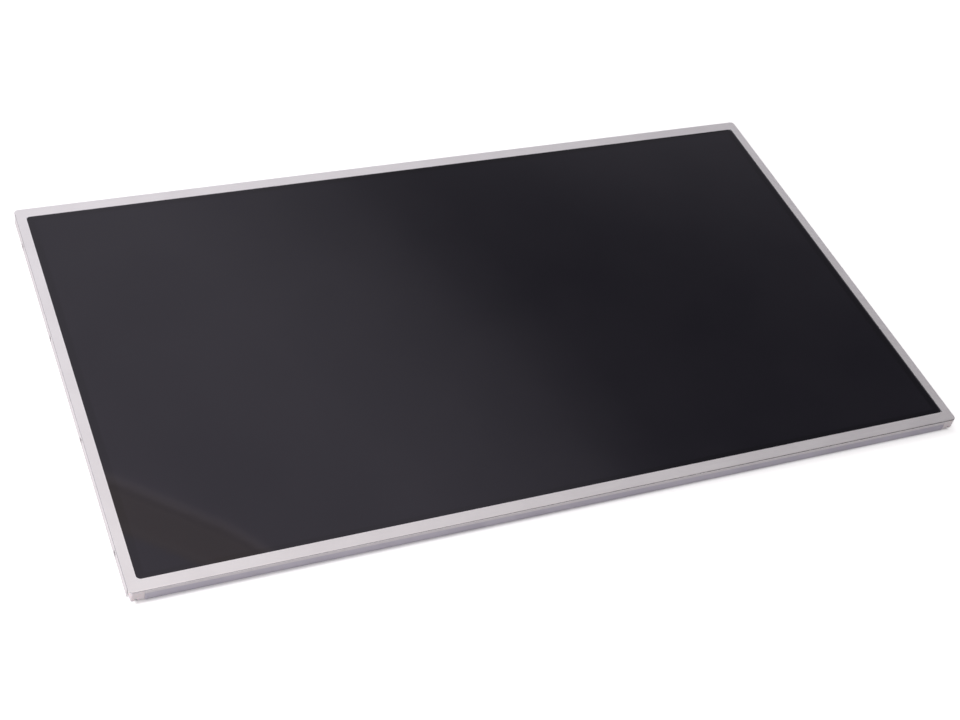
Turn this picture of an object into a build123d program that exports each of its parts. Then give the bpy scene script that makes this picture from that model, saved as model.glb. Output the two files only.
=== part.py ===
from build123d import *
import math
import os

# Laptop display panel, 15.6 inch, lying on its back: +X along its long side, +Y towards its top edge,
# +Z out of the screen, with the origin in the middle of its footprint. All sizes are in millimetres.

# Outline, and the window of the front bezel
panel_width = 359.3
panel_height = 209.5
window_side_margin = 4.3
window_top_margin = 5.7
window_bottom_margin = 5.35
window_radius = 1.8

# Front bezel: a folded sheet whose walls stop short of the corners
bezel_sheet = 0.3
bezel_corner_radius = 2.0
bezel_fold_radius = 0.5
bezel_wall_lift = 0.15
wall_end_radius = 0.6
corner_gap_x = 6.0
corner_gap_y = 2.5
band_from_front = 1.8
band_end_inset = 1.0
band_radius = 1.0
band_depth = 0.1

# Layers, from the back to the front
foot_clearance = 0.05
connector_height = 0.95
board_thickness = 0.5
board_tape_thickness = 0.05
rear_sheet = 0.4
reflector_thickness = 0.15
guide_thickness = 0.8
diffuser_thickness = 0.12
prism_thickness = 0.13
sheet_clearance = 0.02
shelf_thickness = 0.4
gasket_thickness = 0.1
polariser_thickness = 0.2
glass_thickness = 0.5

# Fits between neighbours
bezel_gap = 0.05
frame_gap = 0.1
cell_gap = 0.25
guide_gap = 0.3
pan_gap = 0.2

# Moulded frame
frame_lip = 1.25
frame_side_wall = 3.9
frame_top_wall = 4.95
shelf_overlap = 1.2
rail_width = 2.3
rail_shelf_overlap = 1.5
rail_foot_setback = 0.3
rib_length = 10.0
frame_bevel = 0.6
post_setback = 0.15
post_gap = 0.05
post_radius = 1.85
post_lean_x = 0.8
post_lean_y = 0.2
post_notch_offset = 2.8
post_notch_width = 0.9
post_notch_height = 1.2
catch_length = 8.0
catch_height = 1.0
catch_rise = 0.3
catch_clearance = 0.2
top_catch_count = 5
top_catch_pitch = 65.0
side_catch_count = 3
side_catch_pitch = 56.0

# Glass cell
glass_setback = 0.6
bond_ledge = 2.7
polariser_inset = 0.3

# Optical sheets
sheet_inset = 0.2
ear_width = 10.0
ear_depth = 1.4
ear_gap = 0.3
ear_pitch = 200.0

# Rear cover: a drawn tray with a raised rim on three sides and a flange up each side
rim_width = 2.8
pan_corner_radius = 4.0
draw_angle = 24.0
flange_end_gap = 8.0
bead_count = 5
bead_pitch = 62.0
bead_length = 128.0
bead_width = 9.0
bead_depth = 0.3
bead_offset_y = 14.0

# Tapped collars for the side screws, size M2
screw_hole_radius = 0.8
screw_collar_radius = 1.4
screw_collar_length = 1.2
screw_tip_room = 1.0
screw_window = 2.4
collar_pocket = 3.2
screw_count = 4
screw_pitch = 56.0
screw_from_front = 2.9
flange_margin = 0.4

# Light bar along the bottom edge
led_count = 54
led_end_inset = 3.15
led_length = 3.8
led_depth = 1.2
led_height = 0.8
led_back_gap = 0.2
led_front_gap = 0.1
flex_thickness = 0.15
flex_end = 1.0
tail_x = 101.0
tail_width = 8.0
tail_bend = 0.4
tail_drop = 0.3

# Driver films, folded from the glass ledge round the bottom edge to the board
film_room = 0.85
film_thickness = 0.1
film_bend = 0.5
film_count = 4
film_end_inset = 48.3
film_width = 38.0
film_board_width = 30.0
film_ledge_bond = 1.7
film_board_bond = 1.5
chip_length = 18.0
chip_width = 1.5
chip_height = 0.4

# Driver board, its tape and its cover film
board_end_inset = 24.3
board_width = 15.5
board_setback = 5.8
board_corner_radius = 1.0
board_notch_radius = 1.5
board_tape_inset = 1.0
cover_thickness = 0.1
cover_lift = 0.05
cover_bend = 0.3
cover_bond = 3.5
cover_slope = 1.5
cover_board_gap = 1.0
cover_side_margin = 4.0
cover_bottom_setback = 0.8
cover_window_gap = 2.0

# Chips, inductors and capacitors on the board
timing_size = 9.0
timing_x = -70.0
power_size = 5.0
power_x = -6.0
backlight_size = 4.0
backlight_x = 86.0
memory_size = 3.0
memory_x = -88.0
package_height = 0.8
package_edge = 0.1
inductor_size = 4.0
inductor_offset = 9.0
capacitor_length = 2.0
capacitor_width = 1.25
capacitor_height = 0.8
capacitor_column_pitch = 3.0
capacitor_row_pitch = 9.6
capacitor_columns = 5
capacitor_offset = 12.5
small_capacitor_length = 1.0
small_capacitor_width = 0.5
small_capacitor_height = 0.5
small_capacitor_pitch = 2.2
small_capacitor_count = 6

# Signal connector at the board's top edge, its mouth towards the panel's top
connector_inset = 31.0
connector_length = 24.2
connector_depth = 4.3
connector_ear = 0.8
connector_fit = 0.05
connector_back_wall = 1.5
mouth_height = 0.45
mouth_end_room = 0.3
housing_floor = 0.2
shell_sheet = 0.1
shell_setback = 0.3
contact_count = 40
contact_pitch = 0.5
contact_width = 0.2
contact_sheet = 0.1
contact_setback = 0.4
contact_step = 0.2
contact_foot = 0.6

# Heights of the layers
board_z = foot_clearance + connector_height
board_top_z = board_z + board_thickness
pan_z = board_top_z + board_tape_thickness
pan_top_z = pan_z + rear_sheet
guide_z = pan_top_z + reflector_thickness
guide_top_z = guide_z + guide_thickness
lower_prism_z = guide_top_z + diffuser_thickness
upper_prism_z = lower_prism_z + prism_thickness
shelf_z = upper_prism_z + prism_thickness + sheet_clearance
shelf_top_z = shelf_z + shelf_thickness
rear_polariser_z = shelf_top_z + gasket_thickness
array_z = rear_polariser_z + polariser_thickness
filter_z = array_z + glass_thickness
front_polariser_z = filter_z + glass_thickness
bezel_z = front_polariser_z + polariser_thickness
panel_depth = bezel_z + bezel_sheet
band_z = panel_depth - band_from_front
screw_z = panel_depth - screw_from_front
flange_height = screw_z + screw_collar_radius + flange_margin

# Distances from the middle to each layer's side edges
half_width = panel_width / 2
bezel_inner_x = half_width - bezel_sheet
flange_x = bezel_inner_x - bezel_gap
flange_inner_x = flange_x - rear_sheet
frame_x = flange_inner_x - frame_gap
cell_pocket_x = frame_x - frame_lip
cell_x = cell_pocket_x - cell_gap
guide_pocket_x = frame_x - frame_side_wall
guide_x = guide_pocket_x - guide_gap
shelf_x = guide_x - shelf_overlap
rim_inner_x = flange_x - rim_width
post_x = half_width - post_setback
post_inner_x = half_width - corner_gap_x + post_gap

# Positions of each layer's top edge
half_height = panel_height / 2
bezel_inner_y = half_height - bezel_sheet
frame_top = bezel_inner_y - frame_gap
cell_pocket_top = frame_top - frame_lip
cell_top = cell_pocket_top - cell_gap
guide_pocket_top = frame_top - frame_top_wall
guide_top = guide_pocket_top - guide_gap
shelf_top = guide_top - shelf_overlap
rim_inner_top = frame_top - rim_width
post_y = half_height - post_setback
post_inner_y = half_height - corner_gap_y + post_gap

# Positions of each layer's bottom edge, where the light bar and the driver films are
rail_face = film_room - bezel_inner_y
film_face = rail_face - (film_room - film_thickness) / 2
array_bottom = rail_face + glass_setback
filter_bottom = array_bottom + bond_ledge
rail_inner = rail_face + rail_width
led_back = rail_inner + led_back_gap
led_front = led_back + led_depth
guide_bottom = led_front + led_front_gap
shelf_bottom = guide_bottom + rail_shelf_overlap
pan_bottom = rail_face + rail_foot_setback
board_bottom = pan_bottom + board_setback
board_top = board_bottom + board_width
board_middle = (board_bottom + board_top) / 2

# Rear cover's drawn wall: its slope, and how far its outer skin lies from its inner one
draw_skin = rear_sheet / math.cos(math.radians(draw_angle))
pan_foot_x = rim_inner_x + draw_skin + pan_gap
pan_foot_top = rim_inner_top + draw_skin + pan_gap

window_width = panel_width - 2 * window_side_margin
window_height = panel_height - window_top_margin - window_bottom_margin
window_middle = (window_bottom_margin - window_top_margin) / 2
led_pitch = 2 * (guide_x - led_end_inset) / led_count
flex_half = guide_x - led_end_inset + flex_end
catch_z = shelf_z - catch_height
side_catch_z = shelf_z

film_pitch = 2 * (cell_x - film_end_inset) / (film_count - 1)
film_columns = [(column - (film_count - 1) / 2) * film_pitch for column in range(film_count)]
rib_columns = [(left + right) / 2 for left, right in zip(film_columns, film_columns[1:])]
board_length = 2 * (cell_x - board_end_inset)
connector_x = connector_inset - board_length / 2


def span(x_low, x_high, y_low, y_high, mode=Mode.ADD):
    """A rectangle between two pairs of edges, in the sketch being drawn."""
    with Locations(((x_low + x_high) / 2, (y_low + y_high) / 2)):
        Rectangle(x_high - x_low, y_high - y_low, mode=mode)


def flat_layer(half_x, y_low, y_high, base_z, thickness):
    """A plain rectangular layer of the stack."""
    with BuildPart() as layer:
        with BuildSketch(Plane.XY.offset(base_z)):
            span(-half_x, half_x, y_low, y_high)
        extrude(amount=thickness)
    return layer


def eared_sheet(base_z, thickness):
    """An optical sheet over the light guide, with two ears on its top edge."""
    sheet_top = guide_top - sheet_inset
    with BuildPart() as sheet:
        with BuildSketch(Plane.XY.offset(base_z)):
            span(-guide_x + sheet_inset, guide_x - sheet_inset, guide_bottom + sheet_inset, sheet_top)
            with Locations((0, sheet_top)):
                with GridLocations(ear_pitch, 1, 2, 1):
                    Rectangle(ear_width, 2 * ear_depth)
        extrude(amount=thickness)
    return sheet


# Front bezel: plate, folded walls, window, open corners, sunk band, screw windows and latch windows
with BuildPart() as front_bezel:
    with BuildSketch(Plane.XY.offset(bezel_wall_lift)):
        RectangleRounded(panel_width, panel_height, bezel_corner_radius)
    extrude(amount=panel_depth - bezel_wall_lift)
    fillet(front_bezel.faces().sort_by(Axis.Z)[-1].edges(), bezel_fold_radius)
    with BuildSketch(Plane.XY.offset(bezel_wall_lift)):
        RectangleRounded(2 * bezel_inner_x, 2 * bezel_inner_y, bezel_corner_radius - bezel_sheet)
    extrude(amount=bezel_z - bezel_wall_lift, mode=Mode.SUBTRACT)
    inner_folds = front_bezel.faces().filter_by(Axis.Z).filter_by_position(Axis.Z, bezel_z, bezel_z)
    fillet(inner_folds.edges(), bezel_fold_radius - bezel_sheet)
    with BuildSketch(Plane.XY.offset(bezel_z)):
        with Locations((0, window_middle)):
            RectangleRounded(window_width, window_height, window_radius)
    extrude(amount=bezel_sheet, mode=Mode.SUBTRACT)
    with BuildSketch(Plane.XY.offset(bezel_wall_lift)):
        with GridLocations(panel_width - corner_gap_x, panel_height - corner_gap_y, 2, 2):
            Rectangle(corner_gap_x, corner_gap_y)
    extrude(amount=bezel_z - bezel_wall_lift, mode=Mode.SUBTRACT)
    lowest_edges = front_bezel.edges().group_by(Axis.Z)[0]
    fillet(lowest_edges.filter_by(lambda edge: edge.length < 2 * bezel_sheet), wall_end_radius)
    with BuildSketch(Plane.XZ.offset(half_height)):
        with Locations((0, (band_z - band_radius) / 2)):
            RectangleRounded(
                panel_width - 2 * (corner_gap_x + band_end_inset),
                band_z + band_radius,
                band_radius,
            )
    extrude(amount=-band_depth, mode=Mode.SUBTRACT)
    with BuildSketch(Plane.YZ):
        with Locations((0, screw_z)):
            with GridLocations(screw_pitch, 1, screw_count, 1):
                Rectangle(screw_window, screw_window)
    extrude(amount=half_width, both=True, mode=Mode.SUBTRACT)
    with BuildSketch(Plane.XZ.offset(-bezel_inner_y)):
        with Locations((0, catch_z + catch_height / 2)):
            with GridLocations(top_catch_pitch, 1, top_catch_count, 1):
                Rectangle(catch_length + 2 * catch_clearance, catch_height + 2 * catch_clearance)
    extrude(amount=-bezel_sheet, mode=Mode.SUBTRACT)

# Moulded frame: shelf and lip for the glass cell, pocket for the light guide, corner posts and catches
with BuildPart() as moulded_frame:
    with BuildSketch(Plane.XY.offset(rear_sheet)):
        RectangleRounded(2 * post_x, 2 * post_y, post_radius)
        Rectangle(2 * post_inner_x, panel_height, mode=Mode.SUBTRACT)
        Rectangle(panel_width, 2 * post_inner_y, mode=Mode.SUBTRACT)
        span(-frame_x, frame_x, rail_face, frame_top)
    extrude(amount=bezel_z - rear_sheet)
    with BuildSketch(Plane.XY.offset(bezel_wall_lift)):
        RectangleRounded(2 * post_x, 2 * post_y, post_radius)
        Rectangle(2 * post_inner_x, panel_height, mode=Mode.SUBTRACT)
        span(-half_width, half_width, pan_bottom - pan_gap, half_height, mode=Mode.SUBTRACT)
    extrude(amount=rear_sheet - bezel_wall_lift)
    # The posts lean in towards their feet
    for end in (-1, 1):
        with BuildSketch(Plane.XZ.offset(end * post_inner_y)):
            for side in (-1, 1):
                with BuildLine():
                    Polyline(
                        (side * post_x, bezel_z),
                        (side * post_x, 0),
                        (side * (post_x - post_lean_x), 0),
                        close=True,
                    )
                make_face()
        extrude(amount=end * corner_gap_y, mode=Mode.SUBTRACT)
        with BuildSketch(Plane.YZ.offset(end * post_inner_x)):
            for side in (-1, 1):
                with BuildLine():
                    Polyline(
                        (side * post_y, bezel_z),
                        (side * post_y, 0),
                        (side * (post_y - post_lean_y), 0),
                        close=True,
                    )
                make_face()
        extrude(amount=end * corner_gap_x, mode=Mode.SUBTRACT)
    # Bevels under the bezel's folds
    with BuildSketch(Plane.XZ.offset(-post_inner_y)):
        for side in (-1, 1):
            with BuildLine():
                Polyline(
                    (side * frame_x, bezel_z),
                    (side * (frame_x - frame_bevel), bezel_z),
                    (side * frame_x, bezel_z - frame_bevel),
                    close=True,
                )
            make_face()
    extrude(amount=2 * post_inner_y, mode=Mode.SUBTRACT)
    with BuildSketch(Plane.YZ.offset(-post_inner_x)):
        with BuildLine():
            Polyline(
                (frame_top, bezel_z),
                (frame_top - frame_bevel, bezel_z),
                (frame_top, bezel_z - frame_bevel),
                close=True,
            )
        make_face()
    extrude(amount=2 * post_inner_x, mode=Mode.SUBTRACT)
    # Pocket for the glass cell, open along the rail for the driver films
    with BuildSketch(Plane.XY.offset(shelf_top_z)):
        span(-cell_pocket_x, cell_pocket_x, array_bottom - cell_gap, cell_pocket_top)
        span(-post_inner_x, post_inner_x, -half_height, 0)
    extrude(amount=bezel_z - shelf_top_z, mode=Mode.SUBTRACT)
    # Pocket for the light guide and the light bar
    with BuildSketch():
        span(-guide_pocket_x, guide_pocket_x, rail_inner, guide_pocket_top)
        with Locations((0, guide_pocket_top)):
            with GridLocations(ear_pitch, 1, 2, 1):
                Rectangle(ear_width + 2 * ear_gap, 2 * ear_depth)
    extrude(amount=shelf_z, mode=Mode.SUBTRACT)
    # Opening of the shelf
    with BuildSketch():
        span(-shelf_x, shelf_x, shelf_bottom, shelf_top)
    extrude(amount=bezel_z, mode=Mode.SUBTRACT)
    # Room for the rear cover's pan
    with BuildSketch():
        span(-pan_foot_x, pan_foot_x, pan_bottom - pan_gap, pan_foot_top)
        span(-post_inner_x, post_inner_x, -half_height, 0)
    extrude(amount=pan_top_z, mode=Mode.SUBTRACT)
    # Room for the light bar's flex under the rail
    with BuildSketch(Plane.XY.offset(pan_top_z)):
        span(-flex_half - guide_gap, flex_half + guide_gap, -half_height, rail_inner)
    extrude(amount=flex_thickness, mode=Mode.SUBTRACT)
    # Ribs that keep the bezel off the driver films
    with BuildSketch(Plane.XY.offset(pan_top_z)):
        for rib_x in rib_columns:
            span(rib_x - rib_length / 2, rib_x + rib_length / 2, frame_gap - bezel_inner_y, rail_face)
    extrude(amount=shelf_top_z - pan_top_z)
    # Pockets for the tapped collars and the screw tips
    for side in (-1, 1):
        with BuildSketch(Plane.YZ.offset(side * frame_x)):
            with Locations((0, screw_z)):
                with GridLocations(screw_pitch, 1, screw_count, 1):
                    Rectangle(collar_pocket, collar_pocket)
        extrude(amount=-side * (screw_collar_length + screw_tip_room), mode=Mode.SUBTRACT)
    # Notch at the foot of each bottom corner post
    with BuildSketch(Plane.XZ.offset(post_y)):
        with Locations((0, bezel_wall_lift + post_notch_height / 2)):
            with GridLocations(panel_width - 2 * post_notch_offset, 1, 2, 1):
                Rectangle(post_notch_width, post_notch_height)
    extrude(amount=-(post_y + pan_bottom - pan_gap), mode=Mode.SUBTRACT)
    # Catches for the bezel's top wall, sloped on their upper side
    for column in range(top_catch_count):
        catch_x = (column - (top_catch_count - 1) / 2) * top_catch_pitch
        with BuildSketch(Plane.YZ.offset(catch_x)):
            with BuildLine():
                Polyline(
                    (frame_top, catch_z),
                    (frame_top + catch_rise, catch_z),
                    (frame_top, catch_z + catch_height),
                    close=True,
                )
            make_face()
        extrude(amount=catch_length / 2, both=True)
    # Catches for the rear cover's flanges, sloped on their lower side
    for row in range(side_catch_count):
        catch_y = (row - (side_catch_count - 1) / 2) * side_catch_pitch
        for side in (-1, 1):
            with BuildSketch(Plane.XZ.offset(-catch_y)):
                with BuildLine():
                    Polyline(
                        (side * frame_x, side_catch_z),
                        (side * (frame_x + catch_rise), side_catch_z),
                        (side * frame_x, side_catch_z - catch_height),
                        close=True,
                    )
                make_face()
            extrude(amount=catch_length / 2, both=True)

# Rear cover: rim, drawn pan open at the bottom edge, stiffening beads, flanges and tapped collars
with BuildPart() as rear_cover:
    with BuildSketch():
        span(frame_gap - flange_inner_x, flange_inner_x - frame_gap, pan_bottom, frame_top)
    extrude(amount=rear_sheet)
    with BuildSketch():
        span(-rim_inner_x - draw_skin, rim_inner_x + draw_skin, -panel_height, rim_inner_top + draw_skin)
        fillet(vertices(), pan_corner_radius + draw_skin)
    extrude(amount=pan_top_z, taper=draw_angle)
    with BuildSketch():
        span(-rim_inner_x, rim_inner_x, -panel_height, rim_inner_top)
        fillet(vertices(), pan_corner_radius)
    extrude(amount=pan_z, taper=draw_angle, mode=Mode.SUBTRACT)
    with BuildSketch():
        span(-half_width, half_width, -2 * panel_height, pan_bottom)
    extrude(amount=pan_top_z, mode=Mode.SUBTRACT)
    # Beads stand out of the back, with a groove behind each
    with BuildSketch(Plane.XY.offset(pan_z)):
        with Locations((0, bead_offset_y)):
            with GridLocations(bead_pitch, 1, bead_count, 1):
                SlotOverall(bead_length, bead_width, rotation=90)
    extrude(amount=-bead_depth)
    with BuildSketch(Plane.XY.offset(pan_top_z)):
        with Locations((0, bead_offset_y)):
            with GridLocations(bead_pitch, 1, bead_count, 1):
                SlotOverall(bead_length - 2 * rear_sheet, bead_width - 2 * rear_sheet, rotation=90)
    extrude(amount=-bead_depth, mode=Mode.SUBTRACT)
    # Side flanges, folded up from the rim
    for side in (-1, 1):
        with BuildSketch(Plane.XZ):
            with BuildLine():
                FilletPolyline(
                    (side * (rim_inner_x + draw_skin), 0),
                    (side * flange_x, 0),
                    (side * flange_x, flange_height),
                    radius=frame_gap + rear_sheet,
                )
                offset(amount=rear_sheet, side=Side.LEFT if side > 0 else Side.RIGHT)
            make_face()
        extrude(amount=half_height - flange_end_gap, both=True)
        with BuildSketch(Plane.YZ.offset(side * flange_inner_x)):
            with Locations((0, screw_z)):
                with GridLocations(screw_pitch, 1, screw_count, 1):
                    Circle(screw_collar_radius)
        extrude(amount=-side * screw_collar_length)
    with BuildSketch(Plane.YZ):
        with Locations((0, screw_z)):
            with GridLocations(screw_pitch, 1, screw_count, 1):
                Circle(screw_hole_radius)
    extrude(amount=half_width, both=True, mode=Mode.SUBTRACT)
    with BuildSketch(Plane.YZ):
        with Locations((0, side_catch_z - catch_height / 2)):
            with GridLocations(side_catch_pitch, 1, side_catch_count, 1):
                Rectangle(catch_length + 2 * catch_clearance, catch_height + 2 * catch_clearance)
    extrude(amount=half_width, both=True, mode=Mode.SUBTRACT)

# Backlight layers
reflector_sheet = eared_sheet(pan_top_z, reflector_thickness)
light_guide = flat_layer(guide_x, guide_bottom, guide_top, guide_z, guide_thickness)
diffuser_sheet = eared_sheet(guide_top_z, diffuser_thickness)
lower_prism_sheet = eared_sheet(lower_prism_z, prism_thickness)
upper_prism_sheet = eared_sheet(upper_prism_z, prism_thickness)

# Glass cell, with the array glass longer at the bottom edge for the driver films
array_glass = flat_layer(cell_x, array_bottom, cell_top, array_z, glass_thickness)
colour_filter_glass = flat_layer(cell_x, filter_bottom, cell_top, filter_z, glass_thickness)
rear_polariser = flat_layer(
    cell_x - polariser_inset,
    array_bottom + polariser_inset,
    cell_top - polariser_inset,
    rear_polariser_z,
    polariser_thickness,
)
front_polariser = flat_layer(
    cell_x - polariser_inset,
    filter_bottom + polariser_inset,
    cell_top - polariser_inset,
    front_polariser_z,
    polariser_thickness,
)

# Gasket between the shelf and the cell
with BuildPart() as cell_gasket:
    with BuildSketch(Plane.XY.offset(shelf_top_z)):
        span(
            -cell_x + polariser_inset,
            cell_x - polariser_inset,
            array_bottom + polariser_inset,
            cell_top - polariser_inset,
        )
        span(
            -shelf_x - sheet_inset,
            shelf_x + sheet_inset,
            shelf_bottom - sheet_inset,
            shelf_top + sheet_inset,
            mode=Mode.SUBTRACT,
        )
    extrude(amount=gasket_thickness)

# Light bar: flex strip on the pan, with a tail folded round the pan's edge to the board
with BuildPart() as led_flex:
    with BuildSketch(Plane.XY.offset(pan_top_z)):
        span(-flex_half, flex_half, array_bottom, led_front)
    extrude(amount=flex_thickness)
    with BuildSketch(Plane.YZ.offset(tail_x)):
        with BuildLine():
            FilletPolyline(
                (rail_inner, pan_top_z),
                (rail_face - tail_drop, pan_top_z),
                (rail_face - tail_drop, board_z),
                (board_bottom + film_board_bond, board_z),
                radius=tail_bend,
            )
            offset(amount=flex_thickness, side=Side.RIGHT)
        make_face()
    extrude(amount=tail_width / 2, both=True)

with BuildPart() as leds:
    with BuildSketch(Plane.XY.offset(pan_top_z + flex_thickness)):
        with Locations((0, (led_back + led_front) / 2)):
            with GridLocations(led_pitch, 1, led_count, 1):
                Rectangle(led_length, led_depth)
    extrude(amount=led_height)


def driver_film(film_x):
    """A film bonded to the glass ledge, folded down the bottom edge and under to the board."""
    with BuildPart() as film:
        with BuildSketch(Plane.YZ.offset(film_x)):
            with BuildLine():
                FilletPolyline(
                    (array_bottom + film_ledge_bond, filter_z),
                    (film_face, filter_z),
                    (film_face, board_z),
                    (board_bottom + film_board_bond, board_z),
                    radius=film_bend,
                )
                offset(amount=film_thickness, side=Side.RIGHT)
            make_face()
        extrude(amount=film_width / 2, both=True)
        with BuildSketch():
            for side in (-1, 1):
                with BuildLine():
                    Polyline(
                        (film_x + side * film_width / 2, array_bottom + film_ledge_bond),
                        (film_x + side * film_board_width / 2, board_bottom),
                        (film_x + side * film_board_width / 2, board_bottom + film_board_bond),
                        (film_x + side * film_width / 2, board_bottom + film_board_bond),
                        close=True,
                    )
                make_face()
        extrude(amount=board_z, mode=Mode.SUBTRACT)
    return film


def driver_chip(film_x):
    """A bare driver chip on the inner side of its film."""
    with BuildPart() as chip:
        with BuildSketch(Plane.XY.offset(board_z)):
            with Locations((film_x, (pan_bottom + board_bottom) / 2)):
                Rectangle(chip_length, chip_width)
        extrude(amount=chip_height)
    return chip


# Driver board on the back of the pan, notched at its ends, with its adhesive tape
with BuildPart() as driver_board:
    with BuildSketch(Plane.XY.offset(board_z)):
        with Locations((0, board_middle)):
            RectangleRounded(board_length, board_width, board_corner_radius)
            with GridLocations(board_length, 1, 2, 1):
                Circle(board_notch_radius, mode=Mode.SUBTRACT)
    extrude(amount=board_thickness)

with BuildPart() as board_tape:
    with BuildSketch(Plane.XY.offset(board_top_z)):
        with Locations((0, board_middle)):
            Rectangle(
                board_length - 2 * (board_notch_radius + board_tape_inset),
                board_width - 2 * board_tape_inset,
            )
    extrude(amount=board_tape_thickness)

# Cover film over the board, bonded to the pan above it and open round the connector
cover_half = board_length / 2 + cover_side_margin
cover_fold = board_top + cover_board_gap + cover_slope
with BuildPart() as board_cover:
    with BuildSketch(Plane.YZ):
        with BuildLine():
            FilletPolyline(
                (cover_fold + cover_bond, pan_z),
                (cover_fold, pan_z),
                (board_top + cover_board_gap, cover_lift + cover_thickness),
                (pan_bottom + cover_bottom_setback, cover_lift + cover_thickness),
                radius=cover_bend,
            )
            offset(amount=cover_thickness, side=Side.LEFT)
        make_face()
    extrude(amount=cover_half, both=True)
    with BuildSketch():
        span(
            connector_x - connector_length / 2 - cover_window_gap,
            connector_x + connector_length / 2 + cover_window_gap,
            board_top - connector_depth - cover_window_gap,
            cover_fold + cover_bond,
        )
    extrude(amount=pan_z, mode=Mode.SUBTRACT)


def chip_package(size, package_x):
    """A square chip package under the board, with its lower edges broken."""
    with BuildPart() as package:
        with BuildSketch(Plane.XY.offset(board_z)):
            with Locations((package_x, board_middle)):
                Rectangle(size, size)
        extrude(amount=-package_height)
        chamfer(package.faces().sort_by(Axis.Z)[0].edges(), package_edge)
    return package


timing_controller = chip_package(timing_size, timing_x)
power_chip = chip_package(power_size, power_x)
backlight_driver = chip_package(backlight_size, backlight_x)
memory_chip = chip_package(memory_size, memory_x)

with BuildPart() as inductors:
    with BuildSketch(Plane.XY.offset(board_z)):
        for chip_x in (power_x, backlight_x):
            with Locations((chip_x - inductor_offset, board_middle)):
                RectangleRounded(inductor_size, inductor_size, inductor_size / 4)
    extrude(amount=-package_height)

with BuildPart() as capacitors:
    with BuildSketch(Plane.XY.offset(board_z)):
        for chip_x in (timing_x, power_x, backlight_x):
            with Locations((chip_x + capacitor_offset, board_middle)):
                with GridLocations(capacitor_column_pitch, capacitor_row_pitch, capacitor_columns, 2):
                    Rectangle(capacitor_width, capacitor_length)
    extrude(amount=-capacitor_height)
    with BuildSketch(Plane.XY.offset(board_z)):
        for film_x in film_columns:
            with Locations((film_x, board_bottom + 2 * film_board_bond)):
                with GridLocations(small_capacitor_pitch, 1, small_capacitor_count, 1):
                    Rectangle(small_capacitor_width, small_capacitor_length)
    extrude(amount=-small_capacitor_height)

# Signal connector: housing with its mouth, pressed shell and the row of contacts
housing_half = connector_length / 2 - connector_ear
row_half = contact_count * contact_pitch / 2
floor_z = board_z - housing_floor
connector_back = board_top - connector_depth
with BuildPart() as connector_housing:
    with BuildSketch(Plane.XY.offset(board_z)):
        span(connector_x - housing_half, connector_x + housing_half, connector_back, board_top)
    extrude(amount=shell_sheet - connector_height)
    with BuildSketch(Plane.XY.offset(floor_z)):
        span(
            connector_x - row_half - mouth_end_room,
            connector_x + row_half + mouth_end_room,
            connector_back + connector_back_wall,
            board_top,
        )
    extrude(amount=-mouth_height, mode=Mode.SUBTRACT)
    with BuildSketch(Plane.XY.offset(floor_z)):
        span(connector_x - row_half, connector_x + row_half, connector_back, board_top)
    extrude(amount=-contact_sheet, mode=Mode.SUBTRACT)

shell_leg = housing_half + connector_fit
shell_crown_z = board_z - connector_height + shell_sheet
with BuildPart() as connector_shell:
    with BuildSketch(Plane.XZ.offset(-board_top)):
        with BuildLine():
            Polyline(
                (connector_x - connector_length / 2, board_z),
                (connector_x - shell_leg, board_z),
                (connector_x - shell_leg, shell_crown_z),
                (connector_x + shell_leg, shell_crown_z),
                (connector_x + shell_leg, board_z),
                (connector_x + connector_length / 2, board_z),
            )
            offset(amount=shell_sheet, side=Side.RIGHT, kind=Kind.INTERSECTION)
        make_face()
    extrude(amount=connector_depth - shell_setback)

contact_step_y = connector_back - contact_step
with BuildPart() as connector_contacts:
    for contact in range(contact_count):
        contact_x = connector_x + (contact - (contact_count - 1) / 2) * contact_pitch
        with BuildSketch(Plane.YZ.offset(contact_x)):
            with BuildLine():
                Polyline(
                    (board_top - contact_setback, floor_z),
                    (contact_step_y, floor_z),
                    (contact_step_y, board_z),
                    (contact_step_y - contact_foot, board_z),
                )
                offset(amount=contact_sheet, side=Side.LEFT, kind=Kind.INTERSECTION)
            make_face()
    extrude(amount=contact_width / 2, both=True)

pieces = {
    "front_bezel": front_bezel,
    "front_polariser": front_polariser,
    "colour_filter_glass": colour_filter_glass,
    "array_glass": array_glass,
    "rear_polariser": rear_polariser,
    "cell_gasket": cell_gasket,
    "moulded_frame": moulded_frame,
    "upper_prism_sheet": upper_prism_sheet,
    "lower_prism_sheet": lower_prism_sheet,
    "diffuser_sheet": diffuser_sheet,
    "light_guide": light_guide,
    "reflector_sheet": reflector_sheet,
    "leds": leds,
    "led_flex": led_flex,
    "rear_cover": rear_cover,
    "driver_board": driver_board,
    "board_tape": board_tape,
    "board_cover": board_cover,
    "timing_controller": timing_controller,
    "power_chip": power_chip,
    "backlight_driver": backlight_driver,
    "memory_chip": memory_chip,
    "inductors": inductors,
    "capacitors": capacitors,
    "connector_housing": connector_housing,
    "connector_shell": connector_shell,
    "connector_contacts": connector_contacts,
}
for number, film_x in enumerate(film_columns, start=1):
    pieces[f"driver_film_{number}"] = driver_film(film_x)
    pieces[f"driver_chip_{number}"] = driver_chip(film_x)

os.makedirs("parts", exist_ok=True)
for piece_name, piece in pieces.items():
    piece.part.label = piece_name
    export_step(piece.part, f"parts/{piece_name}.step")
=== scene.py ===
import math

import bmesh
import bpy
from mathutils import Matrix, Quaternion, Vector


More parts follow.
